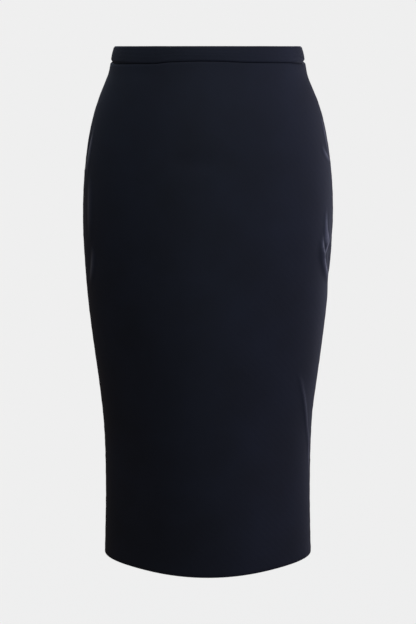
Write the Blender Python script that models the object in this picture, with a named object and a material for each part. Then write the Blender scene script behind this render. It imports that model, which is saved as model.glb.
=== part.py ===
"""A pencil skirt, filled out as worn and hollow right through, open at waist and hem.

Pieces: a front, two backs joined down the centre back above a walking vent, a narrow waistband,
and a concealed zip with its tape, slider and swinging pull.

Frame, in metres: +Z is up, the front looks along -Y, and +X is the wearer's left. The origin is
the middle of the waist opening at half the height of the waistband, where the wearer holds it.
A place on the cloth is a level (its Z) and a turn: 0 degrees at the centre front, 90 at the
wearer's left side seam, -90 at the right one and 180 at the centre back.
"""

import math
from collections import namedtuple

import bmesh
import bpy
import numpy as np
from mathutils import Matrix, Vector

# ---- cloth ----
CLOTH = 0.0016
SEAM_GAP = 0.0003
LENGTH = 0.707  # top of the waistband to the hem
BAND_HEIGHT = 0.0204
BAND_THICKNESS = 0.0036
BAND_ROUNDING = 0.0010
BAND_SWELL = 0.0009  # the band is soft and stands out this far at half its height
SEAM_ROLL = 0.0009  # cloth rolls in this far at the waist seam, from this far below it
SEAM_ROLL_RUN = 0.0050
BAND_TOP = 0.0092
WAIST_SEAM = BAND_TOP - BAND_HEIGHT
BAND_MIDDLE = BAND_TOP - BAND_HEIGHT / 2
HEM = BAND_TOP - LENGTH

# The cloth's outer face in level sections. Depths run from the side seams to the centre front
# and centre back. Fullness swells (+) or slims (-) the section between those four points.
Section = namedtuple("Section", "level half_width front_depth back_depth fullness")
SECTIONS = [Section(*row) for row in (
    (0.011, 0.1244, 0.0890, 0.0885, 0.000),
    (-0.010, 0.1294, 0.0920, 0.0915, 0.000),
    (-0.028, 0.1335, 0.0955, 0.0970, 0.004),
    (-0.048, 0.1419, 0.0995, 0.1030, 0.006),
    (-0.075, 0.1517, 0.1040, 0.1105, 0.008),
    (-0.110, 0.1602, 0.1080, 0.1190, 0.008),
    (-0.160, 0.1672, 0.1115, 0.1268, 0.006),
    (-0.217, 0.1700, 0.1135, 0.1295, 0.002),
    (-0.280, 0.1677, 0.1140, 0.1262, -0.010),
    (-0.340, 0.1637, 0.1138, 0.1200, -0.025),
    (-0.400, 0.1573, 0.1130, 0.1147, -0.040),
    (-0.460, 0.1502, 0.1120, 0.1108, -0.055),
    (-0.500, 0.1462, 0.1113, 0.1088, -0.063),
    (-0.540, 0.1444, 0.1107, 0.1072, -0.070),
    (-0.600, 0.1440, 0.1099, 0.1056, -0.073),
    (-0.699, 0.1466, 0.1090, 0.1040, -0.067),
)]

# ---- centre back ----
VENT_TOP = -0.512
VENT_LAP = 0.038
LAP_INSET = CLOTH + 0.0007  # the underlap lies this far inside the outer face
LAP_FLAT = 0.0007  # a strip beside the centre back at that depth, before the cloth rises again
LAP_RUN = 0.009  # the width over which it rises
ZIP_END = -0.205
TAPE_HALF_WIDTH = 0.012
TAPE_THICKNESS = 0.001
TAPE_CLEARANCE = 0.0004
TAPE_TOP = -0.0036
TAPE_JOG = (WAIST_SEAM - 0.0015, -0.0275)  # where it steps out from the band to the backs

# Rows of the cloth's grid, denser over the folds: so many rows on down to a level.
RowBand = namedtuple("RowBand", "down_to rows")
ROW_BANDS = [RowBand(*row) for row in (
    (-0.0165, 4),
    (-0.200, 13),
    (-0.310, 12),
    (-0.430, 6),
    (VENT_TOP, 9),
    (-0.570, 5),
    (HEM, 7),
)]
COLUMNS_TO_CENTRE = 13
LAP_COLUMNS = 4
BAND_ROWS, BAND_COLUMNS = 6, 60
TAPE_ROWS, TAPE_COLUMNS = 26, 4
SIDE_CROWDING = 1.3  # above 1 sets the columns closer together towards the side seams

# Soft folds in the worn cloth, on the wearer's left (+1) or right (-1). Each runs over three
# places: turns are degrees forward of the side seam, or behind it when negative, and levels are
# metres. Height is a ridge (+) or a trough (-).
Fold = namedtuple("Fold", "side turns levels width height")
FOLDS = [Fold(*row) for row in (
    (+1, (18.0, 16.5, 5.0), (-0.210, -0.242, -0.262), 0.0065, 0.0022),
    (+1, (10.0, 7.0, 3.0), (-0.222, -0.240, -0.252), 0.0065, -0.0016),
    (+1, (23.0, 17.0, 3.0), (-0.250, -0.278, -0.298), 0.0065, 0.0024),
    (+1, (12.0, 8.0, 4.0), (-0.262, -0.272, -0.282), 0.0060, -0.0018),
    (+1, (12.0, 1.0, -9.0), (-0.298, -0.314, -0.330), 0.0120, -0.0020),
    (+1, (34.0, 17.5, 8.0), (-0.436, -0.498, -0.566), 0.0080, 0.0028),
    (+1, (24.0, 10.0, 4.0), (-0.432, -0.485, -0.540), 0.0100, -0.0022),
    (-1, (8.0, 12.0, 16.0), (-0.098, -0.128, -0.156), 0.0080, 0.0014),
    (-1, (14.5, 14.5, 14.0), (-0.180, -0.212, -0.245), 0.0090, 0.0014),
    (-1, (-24.0, -16.0, -4.0), (-0.240, -0.272, -0.295), 0.0080, 0.0020),
    (-1, (-38.0, -26.0, -6.0), (-0.430, -0.485, -0.550), 0.0095, 0.0022),
    (+1, (-42.0, -27.0, -10.0), (-0.318, -0.340, -0.352), 0.0100, 0.0018),
)]
FOLD_STEPS = 9
FOLD_TIP = 0.07  # share of the sine wave left off each end, so that the tips end softly blunt
WAIST_CALM, HEM_CALM = 0.030, 0.020  # folds die away over these heights at the seam and the hem

# ---- zip slider and pull, across (X), down the band (T) and out of it (N) ----
NECK_WIDTH = 0.0010
BAND_SLIT = NECK_WIDTH + 2 * SEAM_GAP
SLIDER_LEVEL = 0.0028
BODY_WIDTH, BODY_HEIGHT, BODY_THICKNESS = 0.0074, 0.0098, 0.0026
BODY_CLEARANCE = 0.0007  # behind the band, whose inner face is hollow there
HEAD_WIDTH, HEAD_HEIGHT, HEAD_THICKNESS = 0.0044, 0.0080, 0.0010
NECK_HEIGHT = 0.0060
BAIL_WIDTH, BAIL_HALF_HEIGHT, BAIL_WIRE = 0.0014, 0.0014, 0.0006
PIVOT_OUT = 0.0023  # from the band's face to the pull's turning axis
BAIL_OUT = PIVOT_OUT + 0.0015
PULL_BAR_RADIUS = 0.0005
PULL_ARM_GAP = BAIL_WIDTH / 2 + 0.00035
PULL_ARM_WIDTH = 0.0008
PULL_EYE_END = 0.0026
PULL_LENGTH = 0.0195
PULL_HALF_WIDTH = 0.0026
PULL_THICKNESS = 0.0010
JOIN_DEPTH = 0.0004  # joined shapes sink this far into each other
HOLE_FLOOR = 0.0001

SHARP_ANGLE = math.radians(45)
NORMAL_STEP = 1e-4  # metres or radians, for measuring a slope
TINY = 1e-6


def section(level, wanted):
    """A smooth curve through one column of the sections, at the levels given (cubic, row to row)."""
    levels = np.array([row.level for row in SECTIONS])[::-1]
    values = np.array([getattr(row, wanted) for row in SECTIONS])[::-1]
    slopes = np.gradient(values, levels)
    level = np.asarray(level, float)
    i = np.clip(np.searchsorted(levels, level) - 1, 0, len(levels) - 2)
    step = levels[i + 1] - levels[i]
    t = (level - levels[i]) / step
    return (
        (2 * t**3 - 3 * t**2 + 1) * values[i]
        + (t**3 - 2 * t**2 + t) * step * slopes[i]
        + (3 * t**2 - 2 * t**3) * values[i + 1]
        + (t**3 - t**2) * step * slopes[i + 1]
    )


def bare_surface(level, turn):
    """The outer face before its folds: half an ellipse in front and half behind, times fullness."""
    swell = 1 + section(level, "fullness") * np.sin(2 * turn) ** 2
    ahead = np.cos(turn) >= 0
    depth = np.where(ahead, section(level, "front_depth"), section(level, "back_depth"))
    across = section(level, "half_width") * np.sin(turn) * swell
    along = -depth * np.cos(turn) * swell
    return np.stack([across, along, level + 0 * turn], axis=-1)


def outward(level, turn):
    """The unit normal of the bare surface, from small steps round and down it."""
    across = bare_surface(level, turn + NORMAL_STEP) - bare_surface(level, turn - NORMAL_STEP)
    up = bare_surface(level + NORMAL_STEP, turn) - bare_surface(level - NORMAL_STEP, turn)
    normal = np.cross(across, up)
    return normal / np.linalg.norm(normal, axis=-1, keepdims=True)


def eased(t):
    """0 before 0, 1 after 1, and a smooth step between."""
    t = np.clip(t, 0, 1)
    return t * t * (3 - 2 * t)


def fold_height(points):
    """How far the folds lift the cloth: each fold's height, fading across it and to its ends."""
    lift = np.zeros(points.shape[:-1])
    t = np.linspace(0, 1, FOLD_STEPS)
    bends = np.array([(1 - t) * (1 - 2 * t), 4 * t * (1 - t), t * (2 * t - 1)])
    for fold in FOLDS:
        turn = fold.side * np.radians(90 - np.array(fold.turns) @ bends)
        path = bare_surface(np.array(fold.levels) @ bends, turn)
        away = np.linalg.norm(points[..., None, :] - path, axis=-1)
        along = FOLD_TIP + t[away.argmin(axis=-1)] * (1 - 2 * FOLD_TIP)
        across = away.min(axis=-1) / fold.width
        lift += fold.height * np.sin(np.pi * along) * np.exp(-(across**2))
    below_waist = eased((WAIST_SEAM - points[..., 2]) / WAIST_CALM)
    return lift * below_waist * eased((points[..., 2] - HEM) / HEM_CALM)


def cloth_points(level, turn, inset=0.0):
    """Points on the folded outer face, rolled in at the waist seam and moved in by the inset."""
    bare = bare_surface(level, turn)
    roll = SEAM_ROLL * (1 - eased((WAIST_SEAM - bare[..., 2]) / SEAM_ROLL_RUN))
    return bare + outward(level, turn) * (fold_height(bare) - roll - inset)[..., None]


def band_points(level, turn):
    """Points on the waistband's outer face: soft and swelling, and rolled in at its seam."""
    from_middle = (level - BAND_MIDDLE) / BAND_HEIGHT
    swell = BAND_SWELL * (1 - (2 * from_middle) ** 2)
    swell = swell - SEAM_ROLL / 2 * eased(-4 * from_middle - 1)
    return bare_surface(level, turn) + outward(level, turn) * swell[..., None]


def row_levels():
    """The levels of the cloth's rows, from just under the waistband to the hem."""
    levels = [WAIST_SEAM - SEAM_GAP / 2]
    for band in ROW_BANDS:
        levels += list(np.linspace(levels[-1], band.down_to, band.rows + 1)[1:])
    return np.array(levels)


def quarter_turns():
    """Turns from a side seam (0) to the centre line (90 degrees on), closer together at the seam."""
    return np.linspace(0, 1, COLUMNS_TO_CENTRE + 1) ** SIDE_CROWDING * (math.pi / 2)


def material(name, colour, roughness, metallic=0.0):
    made = bpy.data.materials.new(name)
    made.use_nodes = True
    shader = made.node_tree.nodes["Principled BSDF"]
    shader.inputs["Base Color"].default_value = (*colour, 1)
    shader.inputs["Roughness"].default_value = roughness
    shader.inputs["Metallic"].default_value = metallic
    return made


def add_object(name, mesh, finish):
    mesh.materials.append(finish)
    mesh.shade_smooth()
    mesh.set_sharp_from_angle(angle=SHARP_ANGLE)
    made = bpy.data.objects.new(name, mesh)
    bpy.context.scene.collection.objects.link(made)
    return made


def sheet_mesh(name, points, cells=None):
    """A sheet of quads over a grid of points, rows going down and columns with the turn. Cells says
    which quads are cloth, and points that no quad uses are left out."""
    rows, columns = points.shape[:2]
    cells = np.ones((rows - 1, columns - 1), bool) if cells is None else cells
    ids = np.arange(rows * columns).reshape(rows, columns)
    corners = (ids[:-1, :-1], ids[1:, :-1], ids[1:, 1:], ids[:-1, 1:])
    faces = np.stack([corner[cells] for corner in corners], axis=-1)
    used, faces = np.unique(faces, return_inverse=True)
    mesh = bpy.data.meshes.new(name)
    mesh.from_pydata(points.reshape(-1, 3)[used].tolist(), [], faces.reshape(-1, 4).tolist())
    return mesh


def thickened(made, thickness):
    """Gives the sheet its thickness, all of it inwards from the outer face."""
    solid = made.modifiers.new("cloth thickness", "SOLIDIFY")
    solid.thickness = thickness
    solid.offset = -1
    solid.use_even_offset = True
    return made


def front_panel(cloth):
    """The front, from the right side seam (-90 degrees) to the left one (90)."""
    level = row_levels()[:, None]
    quarter = quarter_turns()
    turn = np.concatenate([-math.pi / 2 + quarter, (math.pi / 2 - quarter)[-2::-1]])[None, :]
    reach = math.pi / 2 - SEAM_GAP / 2 / section(level, "front_depth")
    points = cloth_points(level, turn * reach / (math.pi / 2))
    return thickened(add_object("front_panel", sheet_mesh("front_panel", points), cloth), CLOTH)


def back_turns(level, side):
    """Turns from a side seam to the centre back, kept half a seam gap from both."""
    at_side = SEAM_GAP / 2 / section(level, "back_depth")
    at_centre = SEAM_GAP / 2 / section(level, "half_width")
    share = quarter_turns()[None, :] / (math.pi / 2)
    return side * (math.pi / 2 + at_side + share * (math.pi / 2 - at_side - at_centre))


def back_panel_left(cloth):
    """The wearer's left back. Its free edge below the vent's top lies over the underlap."""
    level = row_levels()[:, None]
    points = cloth_points(level + 0 * back_turns(level, +1), back_turns(level, +1))
    made = add_object("back_panel_left", sheet_mesh("back_panel_left", points), cloth)
    return thickened(made, CLOTH)


def back_panel_right(cloth):
    """The wearer's right back, with the vent's underlap cut in one with it. The underlap goes on
    past the centre back, inside the left back."""
    level = row_levels()[:, None]
    width = section(level, "half_width")
    # Columns run from the underlap's edge, over the centre back, to the side seam.
    lap = np.linspace(-VENT_LAP, 0, LAP_COLUMNS, endpoint=False)
    beside = np.array([SEAM_GAP / 2, LAP_FLAT, LAP_FLAT + LAP_RUN / 2, LAP_FLAT + LAP_RUN])
    near = -math.pi + np.concatenate([lap, beside])[None, :] / width
    own = back_turns(level, -1)[:, ::-1]
    clear = own[0] > near[0, -1] + LAP_RUN / 2 / width[0, 0]
    turn = np.concatenate([near, own[:, clear]], axis=1)
    from_centre = (turn + math.pi) * width
    below = level < VENT_TOP + TINY
    inset = np.where(below, LAP_INSET * eased(1 - (from_centre - LAP_FLAT) / LAP_RUN), 0.0)
    points = cloth_points(level + 0 * turn, turn, inset)
    cells = np.ones((points.shape[0] - 1, points.shape[1] - 1), bool)
    cells[:, :LAP_COLUMNS] = below[:-1]
    made = add_object("back_panel_right", sheet_mesh("back_panel_right", points, cells), cloth)
    return thickened(made, CLOTH)


def waistband(cloth):
    """The band: one folded strip, its two ends either side of the zip at the centre back."""
    level = np.linspace(BAND_TOP, WAIST_SEAM + SEAM_GAP / 2, BAND_ROWS + 1)[:, None]
    reach = math.pi - BAND_SLIT / 2 / section(level, "half_width")
    turn = np.linspace(-1, 1, BAND_COLUMNS + 1)[None, :] * reach
    points = band_points(level + 0 * turn, turn)
    made = thickened(add_object("waistband", sheet_mesh("waistband", points), cloth), BAND_THICKNESS)
    rounding = made.modifiers.new("rolled edges", "BEVEL")
    rounding.width = BAND_ROUNDING
    rounding.segments = 2
    rounding.limit_method = "ANGLE"
    rounding.angle_limit = SHARP_ANGLE
    return made


def zip_tape(tape):
    """The closed zip's tape, inside the centre back: behind the band, then just behind the backs."""
    level = np.linspace(TAPE_TOP, ZIP_END, TAPE_ROWS + 1)[:, None]
    across = np.linspace(-TAPE_HALF_WIDTH, TAPE_HALF_WIDTH, TAPE_COLUMNS + 1)[None, :]
    turn = math.pi + across / section(level, "half_width")
    jog_top, jog_foot = TAPE_JOG
    behind_band = eased((level - jog_foot) / (jog_top - jog_foot))
    inset = CLOTH + (BAND_THICKNESS - CLOTH) * behind_band + TAPE_CLEARANCE
    points = bare_surface(level + 0 * turn, turn)
    points = points - outward(level + 0 * turn, turn) * (inset + 0 * turn)[..., None]
    return thickened(add_object("zip_tape", sheet_mesh("zip_tape", points), tape), TAPE_THICKNESS)


def slider_frame():
    """The place of the slider on the band's face at the centre back: X across, Y down, Z out."""
    levels = np.array([SLIDER_LEVEL, SLIDER_LEVEL + NORMAL_STEP])
    place, above = (Vector(point) for point in band_points(levels, np.full(2, math.pi)))
    across = Vector((1, 0, 0))
    down = (place - above).normalized()
    turned = Matrix((across, down, across.cross(down))).transposed().to_4x4()
    return Matrix.Translation(place) @ turned


def box_mesh(name, low, high):
    """A box between two corners."""
    low, high = Vector(low), Vector(high)
    shape = bmesh.new()
    fit = Matrix.Translation((low + high) / 2) @ Matrix.Diagonal((*(high - low), 1))
    bmesh.ops.create_cube(shape, size=1, matrix=fit)
    mesh = bpy.data.meshes.new(name)
    shape.to_mesh(mesh)
    shape.free()
    return mesh


def tool(name, mesh, place):
    """A shape that another object is joined with or cut by, and that is not a piece itself."""
    made = bpy.data.objects.new(name, mesh)
    made.matrix_world = place
    made.hide_render = True
    made.display_type = "WIRE"
    bpy.context.scene.collection.objects.link(made)
    return made


def combine(made, other, operation):
    step = made.modifiers.new(other.name, "BOOLEAN")
    step.operation = operation
    step.solver = "EXACT"
    step.object = other


def zip_slider(metal):
    """The slider: a body behind the band, a neck through its slit, and a head with the bail."""
    place = slider_frame()
    body_top = -BAND_THICKNESS - BODY_CLEARANCE
    sizes = {
        "slider_neck": (
            (NECK_WIDTH, NECK_HEIGHT), body_top - JOIN_DEPTH, SEAM_GAP + JOIN_DEPTH),
        "slider_head": (
            (HEAD_WIDTH, HEAD_HEIGHT), SEAM_GAP, SEAM_GAP + HEAD_THICKNESS),
        "slider_bail": (
            (BAIL_WIDTH, 2 * BAIL_HALF_HEIGHT), SEAM_GAP + HEAD_THICKNESS / 2, BAIL_OUT),
    }
    size = Vector((BODY_WIDTH, BODY_HEIGHT, 0)) / 2
    low = Vector((-size.x, -size.y, body_top - BODY_THICKNESS))
    made = add_object("zip_slider", box_mesh("zip_slider", low, (size.x, size.y, body_top)), metal)
    made.matrix_world = place
    for name, ((width, height), bottom, top) in sizes.items():
        mesh = box_mesh(name, (-width / 2, -height / 2, bottom), (width / 2, height / 2, top))
        combine(made, tool(name, mesh, place), "UNION")
    hole = BAIL_HALF_HEIGHT - BAIL_WIRE
    low = (-BAIL_WIDTH, -hole, SEAM_GAP + HEAD_THICKNESS + HOLE_FLOOR)
    mesh = box_mesh("bail_hole", low, (BAIL_WIDTH, hole, BAIL_OUT - BAIL_WIRE))
    combine(made, tool("bail_hole", mesh, place), "DIFFERENCE")
    return made


def pull_outline(steps=8):
    """Half the drop's outline: straight arms at the eye, widening to a round foot."""
    shoulder = PULL_ARM_GAP + PULL_ARM_WIDTH
    foot = PULL_LENGTH - PULL_HALF_WIDTH
    angles = np.linspace(0, math.pi / 2, steps)
    half = [(shoulder, -PULL_BAR_RADIUS), (shoulder, PULL_EYE_END)]
    half += [
        (PULL_HALF_WIDTH * math.cos(angle), foot + PULL_HALF_WIDTH * math.sin(angle))
        for angle in angles
    ]
    return half + [(-across, down) for across, down in half[-2::-1]]


def zip_pull(metal):
    """The pull: a flat drop hanging by its eye on the bail, with its origin on its turning axis."""
    shape = bmesh.new()
    bottom = -PULL_THICKNESS / 2
    points = [shape.verts.new((across, down, bottom)) for across, down in pull_outline()]
    face = shape.faces.new(points)
    raised = bmesh.ops.extrude_face_region(shape, geom=[face])["geom"]
    rising = [item for item in raised if isinstance(item, bmesh.types.BMVert)]
    bmesh.ops.translate(shape, verts=rising, vec=(0, 0, PULL_THICKNESS))
    bmesh.ops.recalc_face_normals(shape, faces=shape.faces)
    mesh = bpy.data.meshes.new("zip_pull")
    shape.to_mesh(mesh)
    shape.free()
    made = add_object("zip_pull", mesh, metal)
    place = slider_frame() @ Matrix.Translation((0, 0, PIVOT_OUT))
    made.matrix_world = place
    low = (-PULL_ARM_GAP, PULL_BAR_RADIUS, -PULL_THICKNESS)
    eye = box_mesh("pull_eye", low, (PULL_ARM_GAP, PULL_EYE_END, PULL_THICKNESS))
    combine(made, tool("pull_eye", eye, place), "DIFFERENCE")
    return made


def main():
    for old in list(bpy.data.objects):
        bpy.data.objects.remove(old)
    cloth = material("navy suiting", (0.010, 0.012, 0.020), 0.62)
    tape = material("navy zip tape", (0.008, 0.009, 0.015), 0.80)
    metal = material("navy painted zinc", (0.016, 0.018, 0.028), 0.35, 0.2)
    front_panel(cloth)
    back_panel_left(cloth)
    back_panel_right(cloth)
    waistband(cloth)
    zip_tape(tape)
    zip_slider(metal)
    zip_pull(metal)


main()
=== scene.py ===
"""The looks of a navy pencil skirt, filled out as worn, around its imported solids.

A place on the cloth is a level (its height) and a turn: 0 degrees at the centre front, 90 at the
wearer's left side seam, -90 at the right one and 180 at the centre back. An inset is a distance
in from the outer face. Lengths are in metres.
"""

from collections import namedtuple
from math import copysign, pi, radians

import bpy
import numpy as np
from mathutils import Matrix, Vector


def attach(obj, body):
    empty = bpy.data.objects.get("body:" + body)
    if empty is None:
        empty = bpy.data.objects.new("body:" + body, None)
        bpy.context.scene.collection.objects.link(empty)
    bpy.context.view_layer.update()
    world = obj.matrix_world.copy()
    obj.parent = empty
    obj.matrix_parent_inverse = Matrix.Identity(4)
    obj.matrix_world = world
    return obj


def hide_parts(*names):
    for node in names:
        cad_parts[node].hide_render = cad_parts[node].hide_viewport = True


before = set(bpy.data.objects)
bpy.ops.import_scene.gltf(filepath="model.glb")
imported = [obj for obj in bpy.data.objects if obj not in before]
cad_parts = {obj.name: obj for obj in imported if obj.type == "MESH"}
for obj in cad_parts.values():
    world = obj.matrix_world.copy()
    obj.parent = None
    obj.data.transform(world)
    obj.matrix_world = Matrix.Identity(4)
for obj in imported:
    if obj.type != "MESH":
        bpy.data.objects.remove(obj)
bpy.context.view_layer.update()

MM = 0.001


def mm(*sizes):
    """Sizes in millimetres, in metres."""
    return tuple(size * MM for size in sizes)


QUARTER = pi / 2
SHORT_NAP = 0.04  # the sheen of cloth away from the sharp creases' crests

# ---- the skirt's own sizes ----
LENGTH = 0.707
BAND_HEIGHT = 0.0204
BAND_THICKNESS = 0.0036
BAND_TOP = 0.0092
WAIST_SEAM = BAND_TOP - BAND_HEIGHT
BAND_MIDDLE = BAND_TOP - BAND_HEIGHT / 2
HEM = BAND_TOP - LENGTH
CLOTH = 0.9 * MM
ABOVE_SEAM, BELOW_SEAM = 0.15 * MM, 0.2 * MM  # how near the waist seam band and panels come
FAR = 1.0  # further from a seam than its roll reaches
RING_SHARE = 0.82  # a level ring's mean radius, in half widths

Section = namedtuple("Section", "level half_width front_depth back_depth fullness")
SECTIONS = [Section(*row) for row in (
    (0.011, 0.1244, 0.0890, 0.0885, 0.000),
    (-0.010, 0.1294, 0.0920, 0.0915, 0.000),
    (-0.028, 0.1335, 0.0955, 0.0970, 0.004),
    (-0.048, 0.1419, 0.0995, 0.1030, 0.006),
    (-0.075, 0.1517, 0.1040, 0.1105, 0.008),
    (-0.110, 0.1602, 0.1080, 0.1190, 0.008),
    (-0.160, 0.1672, 0.1115, 0.1268, 0.006),
    (-0.217, 0.1700, 0.1135, 0.1295, 0.002),
    (-0.280, 0.1677, 0.1140, 0.1262, -0.010),
    (-0.340, 0.1637, 0.1138, 0.1200, -0.025),
    (-0.400, 0.1573, 0.1130, 0.1147, -0.040),
    (-0.460, 0.1502, 0.1120, 0.1108, -0.055),
    (-0.500, 0.1462, 0.1113, 0.1088, -0.063),
    (-0.540, 0.1444, 0.1107, 0.1072, -0.070),
    (-0.600, 0.1440, 0.1099, 0.1056, -0.073),
    (-0.699, 0.1466, 0.1090, 0.1040, -0.067),
)]

# How far the waist seam strays from its level as it goes round: places are a turn in degrees and
# a rise in millimetres.
SEAM_WAVER = (
    (-180, 0.1), (-150, -0.5), (-120, 0.2), (-98, 1.2), (-90, 1.5), (-84, -0.9), (-74, -2.1),
    (-60, -2.4), (-45, -2.3), (-34, -2.1), (-29, -1.6), (-25, -0.5), (-20, 0.1), (-13, 0.7),
    (0, 1.0), (10, 0.7), (16, 0.0), (24, -0.6), (40, -0.8), (55, -1.0), (67, -1.7), (78, -1.7),
    (84, -0.8), (90, 1.4), (98, 1.1), (120, -0.4), (150, 0.3), (180, 0.1),
)
WAVER_FADE = 34 * MM

# ---- seams, hem and vent ----
SEAM_ROLL, SEAM_ROLL_RUN = mm(1.0, 2.6)
WAIST_ROLL, WAIST_ROLL_RUN = mm(1.0, 3.4)
SIDE_NIP, SIDE_NIP_RUN, SIDE_NIP_FOCUS = 3.0 * MM, 3.6 * MM, 10
WAIST_TUCK = 3.4 * MM
HEM_RADIUS = 1.3 * MM
HEM_TURN_UP = 38 * MM
HEM_BULGE, HEM_BULGE_AT, HEM_BULGE_WIDTH = mm(0.3, 4.5, 3.0)
TURNING_WIDTH, TURNING_INSET, TURNING_CLOTH = mm(12, 1.05, 0.55)
TURNING_LIFT, TURNING_LIFT_PITCH = mm(0.25, 47)
TURNING_WAVE, TURNING_WAVE_PITCH = 0.05, 60 * MM
VENT_TOP = -0.512
VENT_LAP = 38 * MM
VENT_FACING, FACING_EASE = mm(34, 12)
LAP_INSET = 2.8 * MM
LAP_EDGE_TURNING = 9 * MM
LAP_RUN, LAP_EASE = mm(10, 14)
LAP_FOLD = 0.8  # how round the fold at the underlap's edge is

# ---- the waistband's cloth ----
BAND_RADIUS = 0.108
BAND_ARCH, BAND_TOP_INSET = mm(0.9, 0.25)
BAND_EDGE_ROLL, BAND_EDGE_RUN = mm(0.8, 2.6)
BAND_INNER_ROLL, BAND_INNER_RUN = mm(0.7, 1.5)
BAND_END_RUN, BAND_END_DRAWN, BAND_END_CALM = 1.6 * MM, 0.75, 14 * MM
BAND_CREASE, BAND_CREASE_PITCH = mm(0.10, 4.6)
BAND_CREASE_WANDER, BAND_CREASE_TURN = 1.2 * MM, 0.9
BAND_SWAY, BAND_SWAY_TURN, BAND_SWAY_RUN = 0.35 * MM, 0.62, 10 * MM
BAND_WAVER_TOP, BAND_WAVER_RUN = BAND_TOP - 5 * MM, 13 * MM

# ---- sewing ----
THREAD = 0.13 * MM
OVERLOCK_PITCH, OVERLOCK_WIDTH, NEEDLE_SWAY = 2.6 * MM, 3.6 * MM, 0.03
STITCH, STITCH_GAP, STITCH_DIP = 2.3 * MM, 0.7 * MM, 2.2 * THREAD
SLIP_RISE, SLIP_SLANT, SLIP_DEPTH = mm(1.1, 0.5, 0.25)

# ---- zip ----
ZIP_END = -0.205
TAPE_HALF_WIDTH, TAPE_CLOTH = mm(12, 0.5)
TAPE_TOP, TAPE_FOOT = 6.0 * MM, ZIP_END - 8 * MM
TAPE_STEP_TOP, TAPE_STEP_FOOT = WAIST_SEAM - 1.5 * MM, -27.5 * MM
TAPE_INSET, TAPE_BAND_INSET = 2.15 * MM, BAND_THICKNESS + 0.05 * MM
TAPE_GAP, TAPE_PARTING, PARTING_FOOT, PARTING_RUN = mm(0.3, 0.6, -4, 3)
COIL_TOP = -2.6 * MM
COIL_PITCH, COIL_WIRE = mm(1.35, 0.27)
COIL_REACH, COIL_OVERLAP, COIL_DEPTH = mm(1.9, 0.25, 0.62)
ZIP_STITCHES_OUT = COIL_REACH + 2.6 * MM
SLIT = 1.6 * MM

# ---- zip slider and pull, in the slider's own frame: across (X), down (Y) and out (Z) ----
SLIDER_LEVEL = 2.8 * MM
BODY_SIZE = mm(3.7, 4.9)
BODY_DEPTHS = mm(-6.9, -4.3)
BODY_WAIST, BODY_WAIST_TOP, BODY_WAIST_RUN = 0.16, -1.5 * MM, 4 * MM
PLATE = 0.75 * MM
WEDGE_SIZE, WEDGE_UP, WEDGE_OVERLAP = mm(1.3, 1.7), 2.4 * MM, 0.3 * MM
NECK_SIZE, NECK_DEPTHS = mm(0.5, 3.0), mm(-4.7, 0.7)
HEAD_SIZE, HEAD_DEPTHS = mm(2.2, 4.0), mm(0.3, 1.3)
BAIL_SIZE, BAIL_HOLE, BAIL_WIDTH = mm(1.4, 1.5), mm(0.8, 0.9), 1.4 * MM
PIVOT_OUT = 2.3 * MM
PULL_TOP, PULL_LENGTH = mm(-0.5, 19.5)
PULL_SHOULDER, PULL_FOOT = mm(1.85, 2.6)
PULL_THICKNESS, PULL_RIM_STEP, WEB_THICKNESS = mm(1.0, 0.06, 0.5)
EYE_SIZE, EYE_DOWN, EYE_WALL = mm(1.05, 1.05), 1.55 * MM, 0.15 * MM
DROP_INSET = 0.1 * MM
RIM_HOLE, WEB_SHARE = 0.72, 0.8  # of the drop's outline
SLIDER_EDGE, PULL_EDGE, EDGE_ANGLE = 0.18 * MM, 0.15 * MM, radians(40)

# ---- grids ----
# Rows are so many steps on down to each level, and columns so many steps on to each share of 90,
# from the side seam to the centre line. Both are denser over the creases.
EDGE_STEPS = np.array([0.1, 0.35, 0.7, 1.15, 1.7, 2.4, 3.4, 5.0, 7.5]) * MM
FACE_ROWS = ((-0.085, 11), (-0.190, 40), (-0.310, 80), (-0.405, 20), (-0.575, 84), (HEM, 22))
TUCK_ROWS, FOLD_ROWS, HEM_ROWS = 4, 8, 8
FRONT_COLUMNS = ((30, 42), (44, 8), (90, 17))
BACK_COLUMNS = ((26, 22), (90, 32))
FACING_COLUMNS = (5, 8)  # round its fold, then across it
LAP_COLUMNS = (11, 6, 3)  # across the underlap, round its fold, then across its turning
TURNING_GRID, TAPE_GRID = (120, 13), (110, 10)
BAND_ROWS = (24, 10, 12)  # up its face, over its top, then down inside
BAND_COLUMNS, BAND_END_COLUMNS = 250, 7
LOOP_STEPS, COIL_STEPS, STITCH_STEPS = 8, 14, 5
OUTLINE_STEPS = 40
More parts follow.
